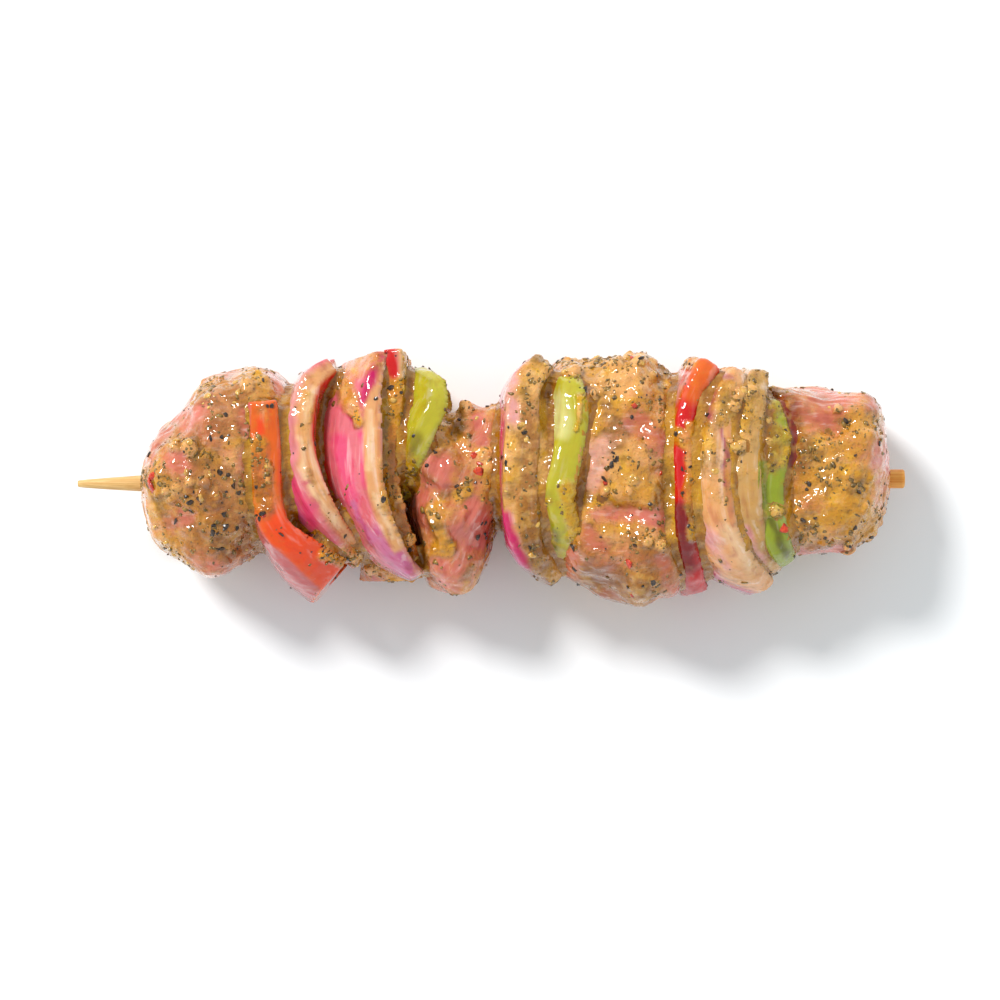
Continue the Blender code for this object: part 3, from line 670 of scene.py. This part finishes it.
# The bell pepper: strips of red and of green, with a glossy skin outside, and paler flesh inside
# and at the cut edge.
PEPPERS = {
    "red_pepper_1": dict(
        slot="red_pepper", skin="dusty_pink", inner="vermilion", cut="orange",
        coat=(0.1, 0.05, 0.3), lumps=8,
        edge=[(-54.5, 18.5), (-54.5, 9.5), (-54.5, -3), (-51.5, -12), (-45.2, -17.5), (-38, -23.5)],
        width=(6.6, 6.6, 9.6),
        tints=[("cut", "vermilion", [(-52, -12, -40, -24, 4.5), (-57, 14, -57, 0, 1.0)])],
        marinade=[
            (0.5, [(-56, 17.5, -55, 13, 1.2)]),
            (0.82, [(-57.4, 8, -56, -7, 3.0), (-54.9, 3.4, -54.9, -1, 1.3)]),
            (0.8, [(-41, -18.5, -36, -21, 1.8)]),
        ],
        shaded=[(-56.5, 4, -55, -8, 3)],
    ),
    "red_pepper_2": dict(
        slot="red_pepper", skin="red", inner="vermilion", cut="orange",
        coat=(0.85, 0.9, 0.85), lumps=80,
        edge=[(-24, 30.8), (-23.5, 19), (-24.5, 7), (-23.5, -6.5), (-20, -17), (-18.5, -25)],
        width=(4.2, 3.4, 3.2),
        tints=[
            ("all", "red", [(-25, 31, -24, 26, 2.6)]),
            ("all", "rim", [(-22.3, 31.5, -21.8, 25, 0.8)]),
            ("all", "dusty_pink", [(-33, -20, -28, -25, 2.4)]),
        ],
        marinade=[(0.1, [(-25, 31.5, -24.4, 26.5, 2.4)]), (0.45, [(-34, -24, -28, -25.5, 2)])],
        shaded=[(-23, 5, -19, -20, 3)],
    ),
    "green_pepper_1": dict(
        slot="green_pepper", skin="leaf", inner="lime", cut="lime",
        coat=(0.3, 0.1, 0.6), lumps=40, swell=0.6,
        edge=[(-12.5, 23), (-12.5, 17.5), (-15.5, 12), (-18.5, 5), (-20, -4)],
        width=(3.0, 4.0, 3.0),
        tints=[
            ("all", "lime", [(-18, 22, -20, 12, 4)]),
            ("all", "leaf", [(-18, 10, -20.5, 5, 1.8), (-21, 22, -22, 12, 1.2)]),
        ],
        marinade=[
            (0.05, [(-18, 23, -14, 18, 3), (-17, 16, -21, 11, 3)]),
            (0.9, [(-22.5, 26, -23, 14, 2), (-24, 6, -18, -2, 4)]),
        ],
    ),
    "green_pepper_2": dict(
        slot="green_pepper", skin="moss", inner="lime", cut="lime",
        coat=(0.25, 0.12, 0.7), lumps=50, swell=1.1,
        edge=[(20, 22.5), (20.5, 15.5), (18.5, 4.5), (16.5, -5.5), (19, -13), (18, -19)],
        width=(3.4, 5.0, 3.4),
        tints=[
            ("all", "lime", [(16, 22, 17, 8, 4), (15, 4, 13.5, -8, 3.4)]),
            # A painted highlight on the pepper's top.
            ("all", "pale_lime", [(16.5, 19, 17.5, 12, 2.4)]),
            ("all", "leaf", [(12.5, -4, 13, -14, 2.2)]),
            ("all", "moss", [(10.5, 0, 10.2, -7, 1.0), (11, -12, 14.5, -19, 0.9)]),
        ],
        marinade=[
            (0.02, [(17, 22, 17, 8, 3), (14.5, 4, 13.5, -4, 2.2)]),
            (0.85, [(18.5, -3, 20.5, -13, 2.4), (12, -8, 14, -6, 1.2), (21.5, 20, 21, 12, 0.8)]),
            (0.5, [(14, -12, 17, -19, 1.6)]),
        ],
    ),
    "red_pepper_3": dict(
        slot="red_pepper", skin="red", inner="red", cut="red",
        coat=(0.15, 0.05, 0.3), lumps=30, swell=1.0,
        edge=[(53, 27), (48.5, 20), (46.3, 7), (46.3, -9), (48.3, -19), (50.5, -27.5)],
        width=(4.4, 2.8, 3.8),
        tints=[
            ("all", "orange", [(52.5, 27, 50.5, 20, 2.6)]),
            ("all", "blush", [(47, 24.5, 45.3, 20, 1.7)]),
            ("all", "blood", [(46.5, -8, 48, -21, 2.6)]),
            ("all", "dusty_pink", [(48.5, -27, 51, -28.5, 2.4)]),
        ],
        marinade=[
            (0.85, [(46, 11.5, 47.5, 9, 1.4), (48.5, 27.5, 50, 28, 1.4), (48.8, 13, 48.6, -14, 1.1)]),
            (0.2, [(47.5, -20, 49, -24, 1.0)]),
        ],
    ),
    "green_pepper_3": dict(
        slot="green_pepper", skin="fresh_green", inner="fresh_green", cut="fresh_green",
        coat=(0.35, 0.05, 0.6), lumps=50, swell=1.1,
        edge=[(67.5, 17.5), (69, 9.5), (67.5, -0.5), (68, -9), (70, -16.5), (72.5, -20.5)],
        width=(3.2, 4.4, 3.2),
        tints=[
            ("all", "lime", [(64, 2, 65.5, -10, 1.2), (66.5, 16, 66.5, 5, 0.8)]),
            ("all", "moss", [(68, -8, 72, -18, 1.0)]),
        ],
        marinade=[
            (0.95, [(66, 17, 69, 6, 4.5)]),
            (0.05, [(65, 1, 67, -8, 2.6), (68, -10, 71.5, -19, 2)]),
            (0.3, [(66.4, 15.5, 66.4, 5, 0.7)]),
        ],
        shaded=[(69, 15, 69, 4, 2)],
    ),
}
pepper_finish = wet_finish("pepper_in_marinade", 0.08, streaks=0.3)
for number, (node, spec) in enumerate(PEPPERS.items()):
    dress_wall(node, node.replace("pepper", "bell_pepper"), spec, pepper_finish, 301 + 20 * number)


# The beef: raw chunks, rosy where the marinade has run off, with fibres and folds, and coated
# elsewhere in a thick paste of oil, garlic, herbs and pepper.
# Strokes again: where the meat is bare, where the paste is thick, pale or shaded, and where it folds.
BEEF = {
    "beef_1": dict(
        coat=0.82,
        bare=[(-74.5, 14.5, -72, 17, 2.6), (-77, 4.2, -76, 3, 3.0), (-76.5, -9, -74, -11, 3.2),
              (-59.5, 6, -59, -2, 2.8), (-70, -22, -65, -22, 3.0), (-54.4, 24.4, -53, 22, 2.0),
              (-69, 24, -62, 25, 1.6), (-60.3, 17, -60.2, 11, 1.8), (-84, 4, -80, 12, 1.8)],
        thick=[(-59.3, 23.1, -57, 22, 3.2), (-71.6, 5.7, -70, 4, 3.0), (-73.6, -5.9, -70, -6, 3.0),
               (-67.7, -12.8, -60, -16, 5.0), (-77, 8.1, -77, 8, 1.8), (-80, -4.2, -70.4, 0, 1.6)],
        tints=[("meat_pink", [(-75, 15, -72, 17, 2.5), (-77, 4, -75, 2, 3)])],
        wrinkled=[(-60, 18, -60, 8, 1.8), (-59.5, 6, -59, -2, 1.8), (-72, -2, -66, -14, 2.5)],
        pale=[(-80, -4.2, -70.4, 0, 1.5), (-66, 18, -65, 10, 2.0)],
        shaded=[(-72, 16, -62, 20, 4), (-72, -2, -61, -12, 7), (-70, -16, -62, -19, 5),
                (-57, 2, -57, -8, 3), (-74, 10, -64, 13, 4)],
    ),
    "beef_2": dict(
        coat=0.66,
        fibre_turn=65,
        bare=[(-12.5, 0, -13.3, 3.9, 2.4), (-3, 14.5, -2, 10, 2.2), (-6.4, -14, -10, -24, 3.6),
              (-12.5, -20, -15, -23, 2.2), (-17, -4, -17.5, -10, 2.2), (-3, -6, -4, -16, 2.4)],
        thick=[(-10, 12, -14, 8, 3.0), (-15, -8, -11.5, -16, 1.8), (-6, -2, -8, -4, 1.6), (-1, 6, 0, 1, 2.0)],
        wrinkled=[(-13.5, 4.5, -12, -2, 2.2), (-3, -2, -5, -8, 1.6)],
        tints=[
            ("meat_pink", [(-6, -10, -10, -26, 4), (-13, 4, -12, 0, 2.4)]),
            ("meat_red", [(1, -10, -1, -18, 1.6)]),
        ],
    ),
    "beef_3": dict(
        coat=0.82,
        bare=[(26.8, 6.9, 24, 0, 3.6), (35, 14, 42, 9, 2.4), (27, -8.5, 42, -9.8, 2.4),
              (19.4, -20, 27, -24.5, 2.8), (41.6, -20, 44.5, -26, 2.2), (24, -13, 26, -17, 2.0),
              (28, -28, 34, -31, 1.6)],
        thick=[(20, 26.5, 42, 27.5, 3.0), (24, 19, 30, 22, 3.0), (31.7, -0.5, 40, -3, 3.4),
               (36, -15, 43, -16.5, 2.4)],
        wrinkled=[(28, 10, 24, -2, 3.0), (34, 12, 40, 9, 2.2), (37, -15.5, 42, -17, 1.8)],
        tints=[
            # A painted highlight: the pale patch stands for the glare on the wet meat.
            ("meat_pale", [(27, 8, 24, -1, 3)]),
            ("meat_pink", [(27, -8.5, 42, -9.8, 2.6)]),
            ("meat_brown", [(24, -24, 37, -28, 3.5)]),
        ],
        pale=[(22, 22, 38, 26, 2), (34, 8, 40, 4, 2)],
        shaded=[(36, -18, 43, -24, 5), (24, -18, 33, -26, 3.5), (28, -25, 40, -28, 3), (20, 24, 19, 8, 1.6)],
    ),
    "beef_4": dict(
        coat=0.84,
        bare=[(71, 19.5, 96, 19, 3.4), (70, 16, 82, 14, 2.4), (95.6, 11, 95.2, -12, 2.3),
              (75, 17, 76.5, 6, 1.6), (73, -18.5, 90, -17.5, 1.4)],
        thick=[(78, 7, 92, -10, 6.0), (74, -12, 80, -14, 3.0)],
        tints=[
            ("meat_rim", [(96, 12, 95.8, -13, 2.2), (72, -18.6, 92, -17.4, 1.6)]),
            # The first stroke is a dark red spot of the meat; the second, down the chunk's left side, is
            # painted shade.
            ("meat_red", [(69.5, 20.5, 74, 18, 2.0), (75, 17, 76.5, 6, 1.8)]),
        ],
        shaded=[(75, 16, 75.5, 2, 2.6), (74, -16, 88, -18, 3)],
    ),
}
MEAT_STRETCH = (0.2, 0.8, 0.8)
BEEF_SPACING = 0.6
BEEF_TOP = (10, 18)
BEEF_LUMPS = 160
BEEF_LUMP_SIZES = (0.6, 1.9)


def dress_beef(node, name, spec, finish, seed):
    """Makes a chunk of beef out of its solid: folds, fibres, lumps of paste, tints and marinade."""
    piece = finer_copy(node, name, 10, mode="VOXEL", voxel_size=BEEF_SPACING * MM)
    places, normals = points_of(piece)
    warp = np.stack([noise_at(places, 4.0, seed + k) for k in range(2)], axis=1)
    seen = seen_from_above(places) + 1.3 * warp
    upper = soft_step(places[:, 2], *BEEF_TOP)
    tint = np.broadcast_to(rgb("meat"), (len(places), 3))
    tint = blended(tint, rgb("meat_pink"), soft_step(noise_at(places, 7.0, seed + 4), -0.3, 0.5))
    tint = blended(tint, rgb("meat_brown"), 0.7 * soft_step(noise_at(places, 5.0, seed + 5), 0.35, 0.9))
    for name_of_tint, lines in spec["tints"]:
        tint = blended(tint, rgb(name_of_tint), strokes(seen, lines) * upper)
    steep = 1 - soft_step(abs(normals[:, 2]), 0.1, 0.5)
    coat = spec["coat"] + 0.3 * noise_at(places, 6.0, seed + 6) - 0.1 * steep
    coat = coat - 0.5 * strokes(seen, spec["bare"], 0.1) * upper
    thick = strokes(seen, spec["thick"], 0.2) * upper
    coat = np.clip(coat + (1.0 - coat) * thick, 0, 1)

    turn = np.array(Matrix.Rotation(math.radians(spec.get("fibre_turn", 0)), 3, "Z"))
    along_fibres = places @ turn * MEAT_STRETCH
    fibres = noise_at(along_fibres, 1.1, seed + 7) * (1 - coat)
    rise = 0.3 + 0.9 * noise_at(places, 8.0, seed + 8) + 0.45 * noise_at(places, 4.5, seed + 9) + 0.3 * fibres
    rise += coat**2 * (0.2 + 0.18 * noise_at(places, 2.4, seed + 10))
    lumps = lumps_on(places, coat**4 + 2 * thick, BEEF_LUMPS, BEEF_LUMP_SIZES, seed)
    rise += lumps * soft_step(coat, 0.5, 0.9)
    rise += 0.45 * noise_at(places, 1.5, seed + 11) * strokes(seen, spec.get("wrinkled", [])) * upper
    raised, garlic = garlic_lumps(places, normals)
    rise += raised
    coat = np.maximum(coat, GARLIC_COAT * garlic)
    move_points(piece, places + normals * rise[:, None])
    store(piece, "tint", tint)
    paste = paste_colours(places, seed)
    for name_of_tint, key in (("tan", "pale"), ("brown", "shaded")):
        paste = blended(paste, rgb(name_of_tint), 0.8 * strokes(seen, spec.get(key, []), 0.1) * upper)
    store(piece, "paste", blended(paste, rgb("tan"), garlic))
    store(piece, "grain", along_fibres)
    store(piece, "coat", coat)
    piece.data.materials.append(finish)
    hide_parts(node)
    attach(piece, "root")
    dressed[piece.name] = (piece, coat)


beef_finish = wet_finish("beef_in_marinade", 0.1, streaks=0.6)
for number, (node, spec) in enumerate(BEEF.items()):
    dress_beef(node, node.replace("beef", "beef_chunk"), spec, beef_finish, 501 + 20 * number)


# The marinade that has run together: one skin of paste that lies just under every piece's surface
# and bridges the creases between them, where alone it shows. Some creases are deep and stay open.
CREASE_SPACING = 0.8
CREASE_REACH = 0.9
CREASE_SINK = 0.45
OPEN_REACH = 0.15
FULL_REACH = 1.7
FULL_SINK = 0.1
FULL_TOP = (15, 22)
CREASE_FLOOR = 0.3
OPEN_CREASES = [
    (-42, 25, -43, 8, 3.5), (-43, 8, -37, -10, 3.5), (-57, -10, -46, -16, 3), (-46, -16, -38, -20, 2.5),
    (-21, -6, -17, -22, 3.5), (0, -8, 2, -18, 3), (70, 16, 71.5, 4, 1.5),
]
FULL_CREASES = [
    (-58.4, 16, -58, -7, 2), (-49, 16, -48.5, 2, 1.5), (-25, 18, -24, 4, 2), (11.8, 18, 11.6, -2, 2),
    (22, 18, 19.5, 0, 2.2), (44, 16, 44.5, -14, 2), (49.8, 20, 49.8, -12, 2.4), (58.5, 20, 57.8, -2, 2),
    (57.8, -2, 62, -17, 2), (65.5, 14, 64.8, -4, 1.6), (71, 0, 72.5, -14, 2),
]
CREASE_TINTS = [
    ("fresh_green", [(66.8, 3, 67, -6, 1.5), (67, -6, 69.5, -14, 1.3)]),
    # The dark red along the crease at the left of the last chunk is painted shade.
    ("blood", [(72, 20, 73.5, 17, 1.6), (73.5, 17, 74.5, 4, 1.8)]),
]


def crease_depth(places):
    """How far the paste reaches out of the pieces, how far it then sinks, and where it fills a crease."""
    seen = seen_from_above(places)
    is_open = strokes(seen, OPEN_CREASES, 0.6)
    full = strokes(seen, FULL_CREASES, 0.6) * (1 - is_open) * soft_step(places[:, 2], *FULL_TOP)
    reach = CREASE_REACH + (OPEN_REACH - CREASE_REACH) * is_open + (FULL_REACH - CREASE_REACH) * full
    return reach, CREASE_SINK + (FULL_SINK - CREASE_SINK) * full, full


def flow_together(name, pieces):
    """One closed skin round all the pieces: swollen until the creases close, then drawn in again."""
    points, faces, count = [], [], 0
    for piece, _ in pieces:
        places, normals = points_of(piece)
        points.append(places + normals * crease_depth(places)[0][:, None])
        corner = np.zeros(len(piece.data.loops), int)
        piece.data.loops.foreach_get("vertex_index", corner)
        faces += (corner.reshape(-1, 4) + count).tolist()
        count += len(places)
    mesh = bpy.data.meshes.new(name)
    mesh.from_pydata(np.vstack(points) * MM, [], faces)
    made = link(name, mesh)
    refine(made, 10, mode="VOXEL", voxel_size=CREASE_SPACING * MM)
    places, normals = points_of(made)
    reach, sink, _ = crease_depth(places)
    move_points(made, places - normals * (reach + sink)[:, None])
    return made


creases = flow_together("marinade_in_creases", dressed.values())
places, normals = points_of(creases)
thickness = 0.15 * noise_at(places, 3.0, 701)
places = places + normals * thickness[:, None]
places[:, 2] = np.maximum(places[:, 2], CREASE_FLOOR)
move_points(creases, places)
# The creases' paste, and the tint under it, are darkened to brown as painted shade, less where a crease is
# filled to the top.
store(creases, "tint", np.broadcast_to(rgb("brown"), (len(places), 3)))
paste = blended(paste_colours(places, 703), rgb("brown"), 0.8 - 0.7 * crease_depth(places)[2])
for name_of_tint, lines in CREASE_TINTS:
    paste = blended(paste, rgb(name_of_tint), strokes(seen_from_above(places), lines, 0.6))
store(creases, "paste", paste)
store(creases, "coat", np.full(len(places), 0.9))
store(creases, "grain", places)
creases.data.materials.append(wet_finish("marinade", 0.12))
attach(creases, "root")


# What is in the marinade: minced garlic, chopped herbs, cracked black pepper and flakes of chilli,
# strewn over every piece and half sunk in the paste.
def cinder(steps, rough, seed):
    """An uneven ball of unit size: its points and faces."""
    bm = bmesh.new()
    bmesh.ops.create_icosphere(bm, subdivisions=steps, radius=1)
    draw = random.Random(seed)
    points = np.array([vert.co * draw.uniform(1 - rough, 1 + rough) for vert in bm.verts])
    faces = np.array([[vert.index for vert in face.verts] for face in bm.faces])
    bm.free()
    return points, faces


def strewn_places(density, seed):
    """Random spots on the dressed pieces, so many a square centimetre: place, normal."""
    draw = np.random.default_rng(seed)
    spots = []
    for piece, coat in dressed.values():
        mesh = piece.data
        count = len(mesh.polygons)
        centre, normal, area = np.zeros(count * 3), np.zeros(count * 3), np.zeros(count)
        mesh.polygons.foreach_get("center", centre)
        mesh.polygons.foreach_get("normal", normal)
        mesh.polygons.foreach_get("area", area)
        centre, normal, area = centre.reshape(-1, 3) / MM, normal.reshape(-1, 3), area / MM**2
        corner = np.zeros(len(mesh.loops), int)
        mesh.loops.foreach_get("vertex_index", corner)
        start = np.zeros(count, int)
        mesh.polygons.foreach_get("loop_start", start)
        wanted = density(centre, coat[corner[start]]) * area / 100
        chosen = draw.random(count) < wanted
        spots.append(np.hstack([centre[chosen], normal[chosen]]))
    return np.vstack(spots)


def spots_below(marks, scale=1.0):
    """The spots on the dressed pieces that the eye sees at marks (x, y, size): place, normal, size."""
    graph = bpy.context.evaluated_depsgraph_get()
    trees = [BVHTree.FromObject(piece, graph) for piece, _ in dressed.values()]
    found = []
    for x, y, size in marks:
        eye = Vector(EYE) * MM
        run = (Vector((x, y, STICK_LEVEL)) * MM - eye).normalized()
        hits = [hit for hit in (tree.ray_cast(eye, run) for tree in trees) if hit[0]]
        if hits:
            place, normal = min(hits, key=lambda hit: hit[3])[:2]
            found.append([*(place / MM), *normal, size * scale])
    return np.array(found)


def strew(name, spots, sizes, flatness, sink, shapes, material, seed, smooth=True, skew=2.0, marked=()):
    """One mesh of grains at the spots, each turned at random about the surface's normal."""
    draw = np.random.default_rng(seed)
    points, faces, count = [], [], 0
    drawn = sizes[0] + (sizes[1] - sizes[0]) * draw.random(len(spots)) ** skew
    spots = np.vstack([np.hstack([spots, drawn[:, None]]), *marked])
    for spot in spots:
        place, normal, size = spot[:3], spot[3:6], spot[6]
        shape, shape_faces = shapes[draw.integers(len(shapes))]
        length, width, depth = draw.uniform(0.7, 1.3), draw.uniform(0.55, 1.0), draw.uniform(0.7, 1.3)
        scale = size * np.array((length, width, flatness * depth))
        lean = normal + draw.uniform(-0.35, 0.35, 3)
        spin = Matrix.Rotation(draw.uniform(0, math.tau), 3, "Z")
        turn = Vector((0, 0, 1)).rotation_difference(Vector(lean)).to_matrix() @ spin
        grain = (shape * scale) @ np.array(turn).T + place + normal * size * flatness * sink
        grain[:, 2] = np.maximum(grain[:, 2], 0)
        points.append(grain)
        faces.append(shape_faces + count)
        count += len(shape)
    mesh = bpy.data.meshes.new(name)
    mesh.from_pydata(np.vstack(points) * MM, [], np.vstack(faces).tolist())
    if smooth:
        mesh.shade_smooth()
    mesh.materials.append(material)
    made = link(name, mesh)
    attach(made, "root")
    return made


def grain_finish(name, first, second, size, gloss, film=0.2, glow=0.0):
    """Small bits of two colours, wet with oil."""
    made = Finish(name)
    share = made.ease(made.cloud(made.place(), size, 1), 0.4, 0.6)
    made.set(
        Base_Color=made.mix(share, colour(*first), colour(*second)),
        Roughness=gloss,
        Coat_Weight=film,
        Coat_Roughness=0.05,
        Subsurface_Weight=glow,
        Subsurface_Radius=(1.0, 0.6, 0.3),
        Subsurface_Scale=0.0015,
    )
    return made.material


def clustered(places, size, seed):
    """How far each place lies in the thick of a cluster."""
    return soft_step(noise_at(places, size, seed) + 0.5 * noise_at(places, size / 3, seed + 1), 0.0, 0.7)


def herb_density(places, coat):
    """Flakes a square centimetre, like the next three."""
    return (9 + 80 * clustered(places, 6.0, 41)) * (0.02 + coat**2)


def pepper_density(places, coat):
    return (0.6 + 3 * clustered(places, 9.0, 47)) * (0.3 + coat)


def garlic_density(places, coat):
    return 5 * coat**3 * clustered(places, 7.0, 53)


def chilli_density(places, coat):
    return 0.1 * coat


def around(marks, reach, count, seed):
    """Each mark again, several times, scattered that far round it and smaller."""
    draw = random.Random(seed)
    return [
        (x + draw.gauss(0, reach * size), y + draw.gauss(0, reach * size), size * draw.uniform(0.45, 1.0))
        for x, y, size in marks
        for _ in range(count)
    ]


# Single grains and clusters: x, y and size in millimetres, as they appear from the eye.
PEPPERCORNS = [
    (-74, -5.9, 0.8), (-77.7, -10.6, 0.7), (-65.4, -11.8, 0.9), (-57.8, -2.2, 0.6), (-65.2, -3.4, 0.6),
    (-64.7, 0.7, 0.6), (-65.2, 15.5, 0.7), (-66.2, 10.1, 0.6), (-68.9, 9.8, 0.6), (-55.1, 17.7, 0.7),
    (-13.8, 6.4, 0.7), (-15.7, 3.2, 0.6), (-8.4, -2, 0.7), (1, 7.9, 0.6), (1, 3, 0.7), (-3.2, -14.5, 0.9),
    (27.8, 0, 0.8), (31, 4.7, 0.9), (29.8, 3.4, 0.7), (39.1, -6.4, 0.6), (39.9, -25.8, 0.7),
    (35.4, -16.5, 0.7), (41.6, 19.4, 0.6), (34.7, 15, 0.6), (-20.2, -17.5, 0.9), (89.5, -12.3, 0.8),
]
PEPPER_CLUSTERS = [
    (-73.6, -6, 1.1), (-67.5, -12.8, 1.4), (-57.8, -9.6, 1.0), (-41, -19, 0.9), (-1.5, -13, 1.1),
    (30.5, 4, 0.9),
]
CHILLI = [
    (-83.6, -2, 1.7), (-83.3, 0.5, 1.1), (-4.2, 5.4, 1.2), (-3, 1.2, 1.3), (-2.6, 3.4, 0.9),
    (35.2, 17.7, 0.9), (33.9, -20.9, 1.4), (73.6, -5.4, 1.1), (71.8, -12.3, 1.2), (42, 1.5, 0.9),
    (28, -1, 0.7),
]
chips = [cinder(1, 0.45, seed) for seed in range(12)]
nuggets = [cinder(2, 0.2, seed + 20) for seed in range(6)]
flakes = [cinder(2, 0.35, seed + 40) for seed in range(6)]
strew(
    "herb_flakes",
    strewn_places(herb_density, 61),
    sizes=(0.25, 0.95),
    flatness=0.2,
    sink=-0.15,
    shapes=chips,
    material=grain_finish("dried_herbs", (156, 118, 48), (104, 78, 32), size=0.9, gloss=0.3),
    seed=62,
    marked=[spots_below(around(GARLIC, 1.0, 5, 71), 0.35)],
)
strew(
    "cracked_pepper",
    strewn_places(pepper_density, 63),
    sizes=(0.25, 0.95),
    flatness=0.65,
    sink=0.1,
    shapes=chips,
    material=grain_finish("black_pepper", (70, 50, 34), (26, 20, 17), size=0.5, gloss=0.3),
    seed=64,
    smooth=False,
    skew=2.2,
    marked=[spots_below(PEPPERCORNS), spots_below(around(PEPPER_CLUSTERS, 1.3, 6, 72), 0.6)],
)
strew(
    "garlic_bits",
    strewn_places(garlic_density, 65),
    sizes=(0.4, 1.3),
    flatness=0.5,
    sink=-0.3,
    shapes=nuggets,
    material=grain_finish(
        "minced_garlic", (224, 172, 78), (196, 142, 54), size=1.5, gloss=0.12, film=0.8, glow=0.3
    ),
    seed=66,
    marked=[spots_below(around(GARLIC, 0.9, 1, 73), 0.7)],
)
strew(
    "chilli_flakes",
    strewn_places(chilli_density, 67),
    sizes=(0.4, 1.1),
    flatness=0.13,
    sink=0.6,
    shapes=flakes,
    material=grain_finish(
        "red_chilli", (216, 66, 30), (176, 42, 24), size=1.0, gloss=0.2, film=0.3, glow=0.2
    ),
    seed=68,
    marked=[spots_below(CHILLI)],
)
